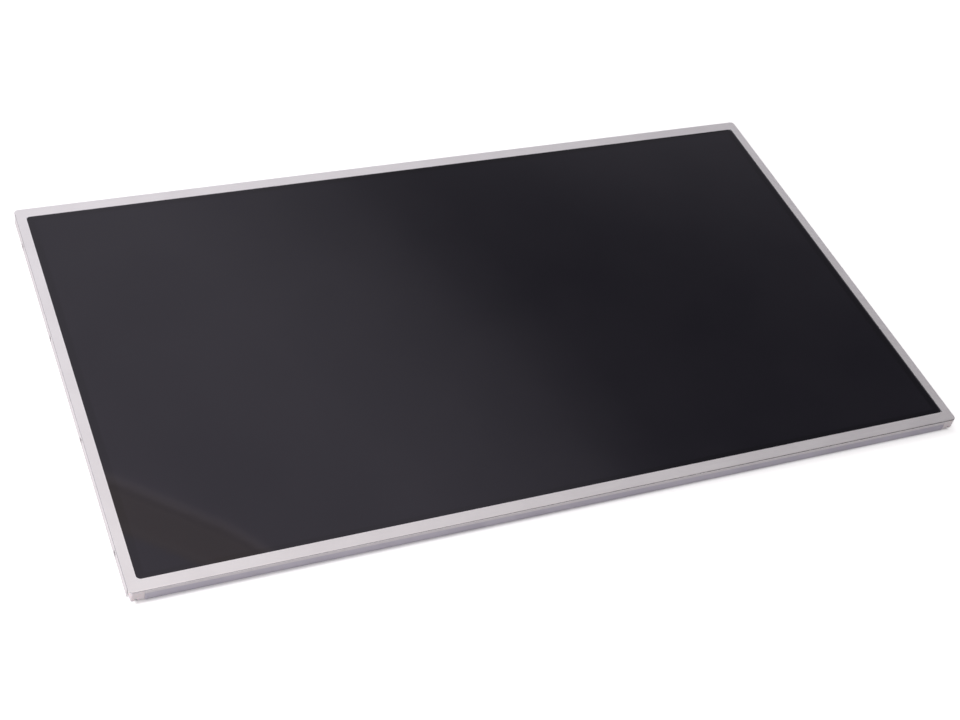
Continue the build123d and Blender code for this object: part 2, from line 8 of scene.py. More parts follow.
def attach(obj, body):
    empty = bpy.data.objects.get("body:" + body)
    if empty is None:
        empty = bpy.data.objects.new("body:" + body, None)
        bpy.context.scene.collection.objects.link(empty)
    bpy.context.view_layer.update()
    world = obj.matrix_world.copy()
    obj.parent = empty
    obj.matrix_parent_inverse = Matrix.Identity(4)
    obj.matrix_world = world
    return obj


# A laptop display panel lying on its back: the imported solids, their finishes
# and the small parts on its board.
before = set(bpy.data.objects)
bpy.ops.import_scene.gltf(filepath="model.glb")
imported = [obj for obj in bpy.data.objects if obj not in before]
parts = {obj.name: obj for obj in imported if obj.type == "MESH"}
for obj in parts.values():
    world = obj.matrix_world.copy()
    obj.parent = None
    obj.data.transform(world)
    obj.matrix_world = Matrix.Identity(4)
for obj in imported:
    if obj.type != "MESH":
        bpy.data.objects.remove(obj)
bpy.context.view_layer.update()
scene = bpy.context.scene

# Sizes that the finishes follow, in millimetres, from the middle of the panel
panel_half_x = 179.65
panel_half_y = 104.75
window_half_x = 175.35
window_half_y = 99.225
window_middle_y = -0.175
lit_half_x = 172.1
lit_half_y = 96.8
glass_half_x = 177.3
glass_half_y = 103.0
guide_near_y = -100.0
guide_far_y = 98.0
fold_z = 5.0
fold_width = 0.5
band_z = 3.7
bead_z = 1.22

# Places and sizes of the driver board's small parts and of the light bar's windows, in millimetres
board_face_z = 1.0
board_middle_y = -89.75
film_columns = (-129.0, -43.0, 43.0, 129.0)
capacitor_groups = (-57.5, 6.5, 98.5)
capacitor_row = 4.8
capacitor_columns = 5
capacitor_pitch = 3.0
capacitor_end = 0.83
end_cap_size = (1.29, 0.38, 0.82)
small_capacitor_y = -94.5
small_capacitor_columns = 6
small_capacitor_pitch = 2.2
small_capacitor_end = 0.42
small_end_cap_size = (0.53, 0.2, 0.52)
# Middle and width of each chip package, and the pads on each of its sides
packages = ((-70.0, 9.0, 16), (-6.0, 5.0, 8), (86.0, 4.0, 6), (-88.0, 3.0, 4))
package_pitch = 0.5
package_toe_size = (0.36, 0.27, 0.24)
contact_toe = (-122.0, -87.1)
contact_count = 40
contact_pitch = 0.5
contact_toe_size = (0.3, 0.2, 0.1)
# Middle of each group of test pads, and how many it has
test_groups = ((50.0, 12), (-30.0, 8))
test_row_y = -83.5
test_pitch = 5.0
test_pad_size = (0.5, 0.5, 0.03)
lamp_face_y = -99.9
lamp_face_z = 2.5
lamp_count = 54
lamp_pitch = 6.35
lamp_window_size = (3.0, 0.5, 0.06)

# Floor, in metres
floor_half = 6.0
floor_gap = 0.00002


def wire(tree, kind, wires=None, **settings):
    """A node with its settings; each named input takes a fixed value or another node's output."""
    made = tree.nodes.new(kind)
    for name, value in settings.items():
        setattr(made, name, value)
    for socket, value in (wires or {}).items():
        if isinstance(value, bpy.types.NodeSocket):
            tree.links.new(value, made.inputs[socket])
        else:
            made.inputs[socket].default_value = value
    return made


def sum_of(tree, kind, *values):
    """The output of one arithmetic node."""
    return wire(tree, "ShaderNodeMath", dict(enumerate(values)), operation=kind).outputs[0]


def fade(tree, value, low, high, at_low, at_high):
    """A smooth step from one value to another."""
    wires = {"Value": value, "From Min": low, "From Max": high, "To Min": at_low, "To Max": at_high}
    return wire(tree, "ShaderNodeMapRange", wires, interpolation_type="SMOOTHSTEP").outputs[0]


def between(tree, share, first, second):
    """A colour between two colours."""
    wires = {0: share, 6: first, 7: second}
    return wire(tree, "ShaderNodeMix", wires, data_type="RGBA").outputs[2]


def multiplied(tree, first, second, share=1.0):
    """A colour times another, by a share."""
    wires = {0: share, 6: first, 7: second}
    return wire(tree, "ShaderNodeMix", wires, data_type="RGBA", blend_type="MULTIPLY").outputs[2]


shader_sockets = {"bend": "IOR", "tint": "Specular Tint", "clear": "Transmission Weight", "alpha": "Alpha",
                  "milky": "Subsurface Weight", "milk_depth": "Subsurface Scale"}


class Finish:
    """A material with its shader, and the place of each point on the panel in millimetres."""

    def __init__(self, name, colour, roughness, metallic=0.0, **sockets):
        self.material = bpy.data.materials.new(name)
        self.material.use_nodes = True
        self.material.diffuse_color = (*colour, 1)
        self.tree = self.material.node_tree
        self.shader = self.tree.nodes["Principled BSDF"]
        self.shader.inputs["Base Color"].default_value = (*colour, 1)
        self.shader.inputs["Roughness"].default_value = roughness
        self.shader.inputs["Metallic"].default_value = metallic
        for socket, value in sockets.items():
            self.shader.inputs[shader_sockets[socket]].default_value = value
        place = wire(self.tree, "ShaderNodeTexCoord")
        wires = {"Vector": place.outputs["Object"], "Scale": (1000, 1000, 1000)}
        scaled = wire(self.tree, "ShaderNodeMapping", wires)
        self.place = scaled.outputs[0]
        split = wire(self.tree, "ShaderNodeSeparateXYZ", {0: self.place})
        self.x, self.y, self.z = split.outputs

    def grain(self, stretch, scale=1.0, detail=3.0, rough=0.5):
        """Noise about 1/scale mm across, stretched along the axes."""
        pulled = wire(self.tree, "ShaderNodeMapping", {"Vector": self.place, "Scale": stretch})
        wires = {"Vector": pulled.outputs[0], "Scale": scale, "Detail": detail, "Roughness": rough}
        return wire(self.tree, "ShaderNodeTexNoise", wires).outputs["Fac"]

    def sum_of(self, kind, *values):
        return sum_of(self.tree, kind, *values)

    def fade(self, value, low, high, at_low, at_high):
        return fade(self.tree, value, low, high, at_low, at_high)

    def between(self, share, first, second):
        return between(self.tree, share, (*first, 1) if isinstance(first, tuple) else first,
                       (*second, 1) if isinstance(second, tuple) else second)

    def inside(self, half_x, half_y, middle_y=0.0):
        """Distance in from a rectangle's edge, in millimetres."""
        across = self.sum_of("SUBTRACT", half_x, self.sum_of("ABSOLUTE", self.x))
        from_middle = self.sum_of("SUBTRACT", self.y, middle_y)
        along = self.sum_of("SUBTRACT", half_y, self.sum_of("ABSOLUTE", from_middle))
        return self.sum_of("MINIMUM", across, along)

    def stripes(self, axis, pitch, share):
        """1 on lines of a given share of the pitch, 0 between them."""
        return self.sum_of("LESS_THAN", self.sum_of("FRACT", self.sum_of("DIVIDE", axis, pitch)), share)

    def specks(self, pitch, size):
        """1 on small round specks scattered about a pitch apart."""
        wires = {"Vector": self.place, "Scale": 1 / pitch, "Randomness": 1.0}
        near = wire(self.tree, "ShaderNodeTexVoronoi", wires).outputs["Distance"]
        return self.fade(near, 0.4 * size / pitch, size / pitch, 1.0, 0.0)

    def colour(self, value):
        self.tree.links.new(value, self.shader.inputs["Base Color"])

    def roughness(self, value):
        self.tree.links.new(value, self.shader.inputs["Roughness"])

    def relief(self, height, depth):
        """A bump of the given depth in millimetres."""
        wires = {"Height": height, "Strength": 1.0, "Distance": depth / 1000}
        bump = wire(self.tree, "ShaderNodeBump", wires)
        self.tree.links.new(bump.outputs[0], self.shader.inputs["Normal"])


def stamped_bezel_steel():
    """Satin rolled sheet steel, rubbed on its cut edges, with painted shade along its folds; its walls are
    a duller finish and darker by painted shade, most on the near wall's lower band.
    """
    f = Finish("stamped_bezel_steel", (0.9, 0.88, 0.9), 0.42, 0.85)
    rolled = f.grain((0.04, 2.2, 2.2), detail=4.0)
    cloud = f.grain((1, 1, 1), 0.06, 2.0)
    wall = f.fade(f.z, fold_z + 0.08, fold_z + 0.25, 1.0, 0.0)
    near_wall = f.fade(f.y, 1.0 - panel_half_y, 2.0 - panel_half_y, 1.0, 0.0)
    shaded_band = f.sum_of("MULTIPLY", f.fade(f.z, band_z - 0.15, band_z + 0.15, 1.0, 0.0), near_wall)
    sheet = f.between(f.fade(cloud, 0.35, 0.65, 0.0, 1.0), (0.93, 0.901, 0.92), (0.965, 0.939, 0.957))
    sheet = f.between(f.fade(rolled, 0.3, 0.7, 0.0, 0.35), sheet, (0.975, 0.96, 0.97))
    # Painted shade: the walls' colour is partly their duller finish and partly painted shade. The near
    # wall's lower band takes a dark bluish tone, and the strip above it and the other walls take a lighter
    # one.
    dull_wall_shade = f.between(f.fade(cloud, 0.35, 0.65, 0.0, 1.0), (0.447, 0.422, 0.486), (0.489, 0.464, 0.528))
    dull_wall_shade = f.between(shaded_band, (0.6, 0.565, 0.583), dull_wall_shade)
    sheet = f.between(wall, sheet, dull_wall_shade)
    fold = f.fade(f.inside(panel_half_x, panel_half_y), 0.2 * fold_width, 0.7 * fold_width, 1.0, 0.0)
    fold = f.sum_of("MULTIPLY", fold, f.sum_of("SUBTRACT", 1.0, wall))
    cut = f.fade(f.inside(window_half_x, window_half_y, window_middle_y), -0.25, 0.0, 0.0, 1.0)
    wear = f.fade(f.grain((1, 1, 1), 0.7), 0.3, 0.7, 0.7, 1.0)
    rubbed = f.sum_of("MULTIPLY", f.sum_of("MAXIMUM", fold, cut), wear)
    # Painted shade: a dark line along the outer fold stands in for the dark that the bend mirrors. The fold
    # is also rubbed smoother.
    sheet = f.between(f.sum_of("MULTIPLY", fold, 0.85), sheet, (0.42, 0.4, 0.415))
    f.colour(f.between(f.sum_of("MULTIPLY", cut, 0.5), sheet, (0.86, 0.845, 0.86)))
    satin = f.fade(rolled, 0.25, 0.75, 0.36, 0.44)
    satin = f.sum_of("SUBTRACT", satin, f.sum_of("MULTIPLY", rubbed, 0.2))
    f.roughness(f.sum_of("ADD", satin, f.sum_of("MULTIPLY", wall, 0.18)))
    f.tree.links.new(f.fade(wall, 0.0, 1.0, 0.88, 0.2), f.shader.inputs["Metallic"])
    f.relief(rolled, 0.004)
    return f.material


def screen_polariser():
    """Dark hard-coated film over the glass: lit area, its black border, haze, smears and a little dust."""
    f = Finish("screen_polariser", (0.008, 0.0075, 0.011), 0.07, bend=1.5, tint=(0.97, 0.89, 1.0, 1))
    lit = f.fade(f.inside(lit_half_x, lit_half_y, window_middle_y), -0.05, 0.05, 0.0, 1.0)
    cloud = f.grain((1, 1, 1), 0.02, 3.0)
    dark = f.between(f.fade(cloud, 0.3, 0.7, 0.0, 1.0), (0.0084, 0.008, 0.0124), (0.0108, 0.0102, 0.0148))
    dark = f.between(lit, (0.0064, 0.0062, 0.009), dark)
    dusty = f.fade(f.grain((1, 1, 1), 0.05, 1.0), 0.5, 0.62, 0.0, 0.5)
    dust = f.sum_of("MULTIPLY", f.specks(16.0, 0.22), dusty)
    f.colour(f.between(dust, dark, (0.2, 0.19, 0.2)))
    smear = f.grain((0.35, 1.0, 1.0), 0.035, 4.0, 0.6)
    haze = f.fade(smear, 0.4, 0.75, 0.022, 0.04)
    f.roughness(f.sum_of("ADD", haze, f.sum_of("MULTIPLY", dust, 0.4)))
    f.relief(f.grain((1, 1, 1), 0.08, 2.0), 0.004)
    return f.material


def cell_glass():
    """Thin display glass, greenish on its ground edges."""
    f = Finish("cell_glass", (0.72, 0.82, 0.8), 0.04, bend=1.52, clear=0.9)
    edge = f.fade(f.inside(glass_half_x, glass_half_y), 0.0, 0.6, 1.0, 0.0)
    f.colour(f.between(edge, (0.78, 0.85, 0.84), (0.5, 0.7, 0.64)))
    polish = f.fade(f.grain((1, 1, 1), 3.0), 0.3, 0.7, 0.03, 0.06)
    f.roughness(f.sum_of("ADD", f.sum_of("MULTIPLY", edge, 0.35), polish))
    return f.material


def moulded_resin():
    """Pale pinkish resin with a fine moulded grain."""
    f = Finish("moulded_resin", (0.76, 0.695, 0.71), 0.5, bend=1.5, milky=0.08, milk_depth=0.001)
    grain = f.grain((1, 1, 1), 6.0, 3.0)
    cloud = f.grain((1, 1, 1), 0.25, 2.0)
    f.colour(f.between(f.fade(cloud, 0.3, 0.7, 0.0, 1.0), (0.74, 0.675, 0.69), (0.78, 0.715, 0.73)))
    f.roughness(f.fade(grain, 0.3, 0.7, 0.42, 0.58))
    f.relief(grain, 0.012)
    return f.material


def black_tape():
    """Thin black adhesive tape with a woven tooth."""
    f = Finish("black_tape", (0.03, 0.03, 0.03), 0.7)
    tooth = f.grain((1, 1, 1), 5.0, 2.0)
    f.colour(f.between(f.fade(tooth, 0.3, 0.7, 0.0, 1.0), (0.022, 0.022, 0.023), (0.042, 0.041, 0.041)))
    f.roughness(f.fade(tooth, 0.3, 0.7, 0.62, 0.8))
    f.relief(tooth, 0.02)
    return f.material


def frosted_optical_film():
    """Frosted sheet of the backlight with fine prisms along the panel."""
    f = Finish("frosted_optical_film", (0.9, 0.91, 0.93), 0.35, bend=1.5, clear=0.4)
    haze = f.grain((1, 1, 1), 0.8, 3.0)
    ridge = f.sum_of("PINGPONG", f.y, 0.05)
    f.colour(f.between(f.fade(haze, 0.3, 0.7, 0.0, 1.0), (0.87, 0.89, 0.92), (0.92, 0.93, 0.94)))
    f.roughness(f.fade(haze, 0.3, 0.7, 0.3, 0.42))
    f.relief(ridge, 0.05)
    return f.material


def dotted_acrylic():
    """Clear acrylic with rows of printed dots that grow away from the light bar."""
    f = Finish("dotted_acrylic", (0.88, 0.93, 0.95), 0.08, bend=1.49, clear=0.8)
    wires = {"Vector": f.place, "Scale": 1.0, "Randomness": 0.0}
    near = wire(f.tree, "ShaderNodeTexVoronoi", wires).outputs["Distance"]
    size = f.fade(f.y, guide_near_y, guide_far_y, 0.14, 0.34)
    dot = f.sum_of("LESS_THAN", near, size)
    f.colour(f.between(dot, (0.88, 0.93, 0.95), (0.96, 0.96, 0.95)))
    f.roughness(f.sum_of("ADD", f.sum_of("MULTIPLY", dot, 0.5), 0.06))
    f.relief(dot, 0.01)
    return f.material


def pearl_reflector():
    """White reflector sheet with a faint pearly mottle."""
    f = Finish("pearl_reflector", (0.93, 0.93, 0.93), 0.45)
    mottle = f.grain((1, 1, 1), 1.2, 4.0)
    f.colour(f.between(f.fade(mottle, 0.3, 0.7, 0.0, 1.0), (0.9, 0.9, 0.905), (0.95, 0.95, 0.945)))
    f.roughness(f.fade(mottle, 0.3, 0.7, 0.38, 0.52))
    f.relief(mottle, 0.01)
    return f.material


def lamp_package():
    """White ceramic body of a small lamp."""
    f = Finish("lamp_package", (0.92, 0.9, 0.84), 0.5)
    grain = f.grain((1, 1, 1), 9.0, 2.0)
    f.colour(f.between(f.fade(grain, 0.3, 0.7, 0.0, 1.0), (0.89, 0.87, 0.8), (0.94, 0.92, 0.87)))
    f.roughness(f.fade(grain, 0.3, 0.7, 0.42, 0.58))
    f.relief(grain, 0.006)
    return f.material


def lamp_phosphor():
    """Yellow silicone that fills the lamp's window."""
    f = Finish("lamp_phosphor", (0.88, 0.72, 0.16), 0.22, milky=0.15, milk_depth=0.0005)
    grain = f.grain((1, 1, 1), 12.0, 2.0)
    f.colour(f.between(f.fade(grain, 0.3, 0.7, 0.0, 1.0), (0.84, 0.66, 0.12), (0.92, 0.79, 0.24)))
    f.roughness(f.fade(grain, 0.3, 0.7, 0.16, 0.28))
    f.relief(grain, 0.004)
    return f.material


def white_flex_strip():
    """Flexible circuit under white solder mask, its two long conductors just showing."""
    f = Finish("white_flex_strip", (0.86, 0.84, 0.76), 0.42)
    grain = f.grain((1, 1, 1), 4.0, 3.0)
    lines = f.stripes(f.y, 0.9, 0.55)
    f.colour(f.between(lines, (0.86, 0.84, 0.77), (0.8, 0.765, 0.66)))
    f.roughness(f.fade(grain, 0.3, 0.7, 0.35, 0.5))
    f.relief(f.sum_of("ADD", f.sum_of("MULTIPLY", lines, 0.6), f.sum_of("MULTIPLY", grain, 0.4)), 0.015)
    return f.material


def rolled_aluminium():
    """Satin aluminium sheet, rolled along the panel, polished a little on its beads and rim."""
    f = Finish("rolled_aluminium", (0.74, 0.75, 0.76), 0.36, 1.0)
    rolled = f.grain((0.025, 1.6, 1.6), detail=5.0, rough=0.6)
    cloud = f.grain((1, 1, 1), 0.035, 3.0)
    sheet = f.between(f.fade(cloud, 0.3, 0.7, 0.0, 1.0), (0.70, 0.712, 0.722), (0.775, 0.783, 0.79))
    sheet = f.between(f.fade(rolled, 0.35, 0.75, 0.0, 0.3), sheet, (0.86, 0.865, 0.87))
    raised = f.fade(f.z, bead_z, bead_z + 0.18, 1.0, 0.0)
    touched = f.sum_of("MULTIPLY", raised, f.fade(f.grain((1, 1, 1), 0.5), 0.4, 0.7, 0.1, 0.8))
    f.colour(f.between(touched, sheet, (0.84, 0.845, 0.85)))
    satin = f.fade(rolled, 0.25, 0.75, 0.3, 0.44)
    f.roughness(f.sum_of("SUBTRACT", satin, f.sum_of("MULTIPLY", touched, 0.07)))
    f.relief(rolled, 0.005)
    return f.material


def board_laminate():
    """Green solder mask over copper tracks, with small plated holes."""
    f = Finish("board_laminate", (0.02, 0.15, 0.065), 0.32)
    block = wire(f.tree, "ShaderNodeMapping", {"Vector": f.place, "Scale": (0.12, 0.42, 1.0)})
    cell = wire(f.tree, "ShaderNodeVectorMath", {0: block.outputs[0]}, operation="FLOOR")
    wires = {"Vector": cell.outputs[0]}
    chance = wire(f.tree, "ShaderNodeTexWhiteNoise", wires, noise_dimensions="2D").outputs["Value"]
    along = f.sum_of("MULTIPLY", f.stripes(f.y, 0.5, 0.45), f.sum_of("GREATER_THAN", chance, 0.45))
    across = f.sum_of("MULTIPLY", f.stripes(f.x, 0.6, 0.4), f.sum_of("LESS_THAN", chance, 0.2))
    pour = f.sum_of("GREATER_THAN", f.grain((1, 1, 1), 0.09, 0.0), 0.56)
    copper = f.sum_of("MAXIMUM", f.sum_of("MAXIMUM", along, across), pour)
    hole = f.specks(2.6, 0.3)
    mask = f.between(copper, (0.012, 0.105, 0.046), (0.028, 0.19, 0.082))
    f.colour(f.between(hole, mask, (0.42, 0.36, 0.2)))
    gloss = f.fade(f.grain((1, 1, 1), 3.0), 0.3, 0.7, 0.24, 0.38)
    f.roughness(f.sum_of("ADD", gloss, f.sum_of("MULTIPLY", hole, 0.1)))
    f.relief(f.sum_of("SUBTRACT", copper, hole), 0.03)
    return f.material


def clear_cover_film():
    """Thin clear film, slightly milky, with long soft ripples."""
    f = Finish("clear_cover_film", (0.75, 0.76, 0.74), 0.18, bend=1.5, alpha=0.3)
    ripple = f.grain((0.03, 0.25, 1.0), 1.0, 2.0)
    f.colour(f.between(f.fade(ripple, 0.3, 0.7, 0.0, 1.0), (0.72, 0.73, 0.71), (0.79, 0.8, 0.78)))
    f.roughness(f.fade(ripple, 0.3, 0.7, 0.12, 0.26))
    f.relief(ripple, 0.25)
    return f.material


def polyimide_film():
    """Amber film with fine copper lines round the fold."""
    f = Finish("polyimide_film", (0.42, 0.22, 0.05), 0.26)
    lines = f.stripes(f.x, 0.42, 0.5)
    wide = f.stripes(f.sum_of("ADD", f.x, 0.4), 3.8, 0.16)
    copper = f.sum_of("MAXIMUM", lines, wide)
    tone = f.grain((1, 1, 1), 0.6, 2.0)
    amber = f.between(f.fade(tone, 0.3, 0.7, 0.0, 1.0), (0.38, 0.185, 0.04), (0.46, 0.25, 0.065))
    f.colour(f.between(copper, amber, (0.33, 0.14, 0.05)))
    f.roughness(f.fade(tone, 0.3, 0.7, 0.2, 0.32))
    f.relief(copper, 0.012)
    return f.material


def sawn_silicon():
    """Grey polished silicon of a bare chip."""
    f = Finish("sawn_silicon", (0.1, 0.1, 0.12), 0.16, 0.4)
    lap = f.grain((3.0, 0.3, 1.0), 2.0, 3.0)
    f.colour(f.between(f.fade(lap, 0.3, 0.7, 0.0, 1.0), (0.085, 0.086, 0.105), (0.125, 0.125, 0.145)))
    f.roughness(f.fade(lap, 0.3, 0.7, 0.1, 0.24))
    f.relief(lap, 0.003)
    return f.material


def chip_epoxy():
    """Black moulded epoxy with a fine matt grain."""
    f = Finish("chip_epoxy", (0.035, 0.035, 0.038), 0.5)
    grain = f.grain((1, 1, 1), 14.0, 3.0)
    f.colour(f.between(f.fade(grain, 0.3, 0.7, 0.0, 1.0), (0.028, 0.028, 0.031), (0.05, 0.05, 0.052)))
    f.roughness(f.fade(grain, 0.3, 0.7, 0.42, 0.6))
    f.relief(grain, 0.012)
    return f.material


def pressed_ferrite():
    """Dark grey pressed ferrite."""
    f = Finish("pressed_ferrite", (0.12, 0.12, 0.12), 0.6)
    grain = f.grain((1, 1, 1), 8.0, 4.0, 0.65)
    f.colour(f.between(f.fade(grain, 0.3, 0.7, 0.0, 1.0), (0.09, 0.09, 0.092), (0.16, 0.158, 0.155)))
    f.roughness(f.fade(grain, 0.3, 0.7, 0.5, 0.7))
    f.relief(grain, 0.02)
    return f.material


def fired_ceramic():
    """Brown fired ceramic of a chip capacitor."""
    f = Finish("fired_ceramic", (0.46, 0.36, 0.26), 0.4)
    grain = f.grain((1, 1, 1), 7.0, 3.0)
    f.colour(f.between(f.fade(grain, 0.3, 0.7, 0.0, 1.0), (0.4, 0.305, 0.215), (0.52, 0.42, 0.31)))
    f.roughness(f.fade(grain, 0.3, 0.7, 0.32, 0.48))
    f.relief(grain, 0.008)
    return f.material


def connector_resin():
    """Ivory resin of the connector's housing."""
    f = Finish("connector_resin", (0.8, 0.77, 0.68), 0.45)
    grain = f.grain((1, 1, 1), 9.0, 3.0)
    f.colour(f.between(f.fade(grain, 0.3, 0.7, 0.0, 1.0), (0.76, 0.73, 0.63), (0.84, 0.81, 0.73)))
    f.roughness(f.fade(grain, 0.3, 0.7, 0.38, 0.52))
    f.relief(grain, 0.008)
    return f.material


def tinned_steel():
    """Tin plated sheet and solder."""
    f = Finish("tinned_steel", (0.72, 0.72, 0.72), 0.32, 1.0)
    frost = f.grain((0.3, 1.0, 1.0), 5.0, 4.0, 0.6)
    f.colour(f.between(f.fade(frost, 0.3, 0.7, 0.0, 1.0), (0.66, 0.66, 0.665), (0.8, 0.8, 0.795)))
    f.roughness(f.fade(frost, 0.3, 0.7, 0.24, 0.42))
    f.relief(frost, 0.006)
    return f.material


def plated_gold():
    """Thin gold plate on copper."""
    f = Finish("plated_gold", (0.83, 0.66, 0.3), 0.28, 1.0)
    tone = f.grain((1, 1, 1), 6.0, 3.0)
    f.colour(f.between(f.fade(tone, 0.3, 0.7, 0.0, 1.0), (0.78, 0.6, 0.25), (0.88, 0.72, 0.36)))
    f.roughness(f.fade(tone, 0.3, 0.7, 0.22, 0.36))
    f.relief(tone, 0.004)
    return f.material


bezel_steel = stamped_bezel_steel()
screen_film = screen_polariser()
glass = cell_glass()
resin = moulded_resin()
tape = black_tape()
optical_film = frosted_optical_film()
acrylic = dotted_acrylic()
reflector = pearl_reflector()
lamp_body = lamp_package()
phosphor = lamp_phosphor()
flex = white_flex_strip()
aluminium = rolled_aluminium()
laminate = board_laminate()
cover_film = clear_cover_film()
polyimide = polyimide_film()
silicon = sawn_silicon()
epoxy = chip_epoxy()
ferrite = pressed_ferrite()
ceramic = fired_ceramic()
connector_ivory = connector_resin()
tinned = tinned_steel()
gold = plated_gold()

finishes = {
    "front_bezel": bezel_steel, "front_polariser": screen_film, "rear_polariser": screen_film,
    "colour_filter_glass": glass, "array_glass": glass, "cell_gasket": tape, "moulded_frame": resin,
    "upper_prism_sheet": optical_film, "lower_prism_sheet": optical_film, "diffuser_sheet": optical_film,
    "light_guide": acrylic, "reflector_sheet": reflector, "leds": lamp_body, "led_flex": flex,
    "rear_cover": aluminium, "driver_board": laminate, "board_tape": tape, "board_cover": cover_film,
    "timing_controller": epoxy, "power_chip": epoxy, "backlight_driver": epoxy, "memory_chip": epoxy,
    "inductors": ferrite, "capacitors": ceramic, "connector_housing": connector_ivory,
    "connector_shell": tinned, "connector_contacts": gold,
}
for number in range(1, 5):
    finishes[f"driver_film_{number}"] = polyimide
    finishes[f"driver_chip_{number}"] = silicon
for part_name, finish in finishes.items():
    part_mesh = parts[part_name].data
    part_mesh.materials.clear()
    part_mesh.materials.append(finish)


# Small parts that repeat: each shape is drawn once, in units of its own size, and set out by a node tree
def small_shape(name, points, faces):
    mesh = bpy.data.meshes.new(name)
    mesh.from_pydata(points, [], faces)
    shape = bmesh.new()
    shape.from_mesh(mesh)
    bmesh.ops.recalc_face_normals(shape, faces=shape.faces[:])
    shape.to_mesh(mesh)
    shape.free()
    return bpy.data.objects.new(name, mesh)


def stacked_rings(name, rings):
    """A closed shape from rings of points, each ring as long as the first."""
    count = len(rings[0])
    points = [point for ring in rings for point in ring]
    faces = [tuple(range(count)), tuple(range(len(points) - count, len(points)))]
    for level in range(len(rings) - 1):
        for step in range(count):
            after = (step + 1) % count
            faces.append((level * count + step, level * count + after,
                          (level + 1) * count + after, (level + 1) * count + step))
    return small_shape(name, points, faces)


def box_ring(half_x, half_y, cut, z):
    """Eight points round a rectangle with cut corners."""
    return [(half_x, cut - half_y, z), (half_x, half_y - cut, z),
            (half_x - cut, half_y, z), (cut - half_x, half_y, z),
            (-half_x, half_y - cut, z), (-half_x, cut - half_y, z),
            (cut - half_x, -half_y, z), (half_x - cut, -half_y, z)]


def round_ring(radius, z, count=16):
    return [(radius * math.cos(math.tau * step / count), radius * math.sin(math.tau * step / count), z)
            for step in range(count)]


end_cap = stacked_rings("end_cap", [box_ring(0.5, 0.5, 0.06, 0.0), box_ring(0.5, 0.5, 0.06, -0.92),
                                    box_ring(0.44, 0.44, 0.06, -1.0)])
pad_disc = stacked_rings("pad_disc", [round_ring(1.0, 0.0), round_ring(1.0, -0.7), round_ring(0.9, -1.0)])
lamp_lens = stacked_rings("lamp_lens", [box_ring(0.5, 0.5, 0.14, 0.0), box_ring(0.49, 0.47, 0.14, 0.6),
                                        box_ring(0.46, 0.38, 0.12, 1.0)])
toe_line = ((0.0, 0.0), (1.0, 0.0), (1.0, -0.08), (0.6, -0.2), (0.28, -0.46), (0.0, -1.0))
toe_sides = [[(out, across, down) for out, down in toe_line] for across in (-0.5, 0.5)]
solder_toe = stacked_rings("solder_toe", toe_sides)


def repeat_tree():
    """Sets a shape on each point of a mesh, by the point's turn and size, with a little scatter of size."""
    tree = bpy.data.node_groups.new("repeat_at_places", "GeometryNodeTree")
    for name, kind in (("Places", "NodeSocketGeometry"), ("Shape", "NodeSocketObject"),
                       ("Finish", "NodeSocketMaterial"), ("Scatter", "NodeSocketFloat"),
                       ("Seed", "NodeSocketInt")):
        tree.interface.new_socket(name, in_out="INPUT", socket_type=kind)
    tree.interface.new_socket("Piece", in_out="OUTPUT", socket_type="NodeSocketGeometry")
    given = wire(tree, "NodeGroupInput").outputs
    shape = wire(tree, "GeometryNodeObjectInfo", {"Object": given["Shape"]})
    turn = wire(tree, "GeometryNodeInputNamedAttribute", {"Name": "turn"}, data_type="FLOAT_VECTOR")
    size = wire(tree, "GeometryNodeInputNamedAttribute", {"Name": "size"}, data_type="FLOAT_VECTOR")
    least = sum_of(tree, "SUBTRACT", 1.0, given["Scatter"])
    wires = {2: least, 3: 1.0, "Seed": given["Seed"]}
    change = wire(tree, "FunctionNodeRandomValue", wires, data_type="FLOAT")
    wires = {0: size.outputs["Attribute"], "Scale": change.outputs[1]}
    grown = wire(tree, "ShaderNodeVectorMath", wires, operation="SCALE")
    turned = wire(tree, "FunctionNodeEulerToRotation", {"Euler": turn.outputs["Attribute"]})
    laid = wire(tree, "GeometryNodeInstanceOnPoints", {
        "Points": given["Places"], "Instance": shape.outputs["Geometry"],
        "Rotation": turned.outputs[0], "Scale": grown.outputs[0]})
    real = wire(tree, "GeometryNodeRealizeInstances", {"Geometry": laid.outputs[0]})
    wires = {"Geometry": real.outputs[0], "Material": given["Finish"]}
    painted = wire(tree, "GeometryNodeSetMaterial", wires)
    wire(tree, "NodeGroupOutput", {"Piece": painted.outputs[0]})
    return tree


repeat_at_places = repeat_tree()
tree_inputs = [item for item in repeat_at_places.interface.items_tree if item.in_out == "INPUT"]
socket_of = {item.name: item.identifier for item in tree_inputs}


def repeated_piece(name, shape, finish, places, scatter, seed):
    """One piece from a shape and its places.

    A place is x, y, z and size in millimetres, then quarter turns about X and about Z.
    """
    points = bpy.data.meshes.new(name)
    points.from_pydata([tuple(value / 1000 for value in place[:3]) for place in places], [], [])
    sizes = points.attributes.new("size", "FLOAT_VECTOR", "POINT")
    turns = points.attributes.new("turn", "FLOAT_VECTOR", "POINT")
    for index, place in enumerate(places):
        sizes.data[index].vector = [value / 1000 for value in place[3]]
        turns.data[index].vector = (place[4] * math.pi / 2, 0.0, place[5] * math.pi / 2)
    piece = bpy.data.objects.new(name, points)
    scene.collection.objects.link(piece)
    nodes = piece.modifiers.new("repeat", "NODES")
    nodes.node_group = repeat_at_places
    for socket, value in (("Shape", shape), ("Finish", finish), ("Scatter", scatter), ("Seed", seed)):
        nodes[socket_of[socket]] = value
    bpy.context.view_layer.update()
    solid = piece.evaluated_get(bpy.context.evaluated_depsgraph_get())
    mesh = bpy.data.meshes.new_from_object(solid)
    piece.modifiers.clear()
    piece.data = mesh
    mesh.name = name
    for spare in [item.name for item in mesh.attributes if item.name in ("size", "turn")]:
        mesh.attributes.remove(mesh.attributes[spare])
    bpy.data.meshes.remove(points)
    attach(piece, "root")


def in_row(count, pitch):
    return [(step - (count - 1) / 2) * pitch for step in range(count)]


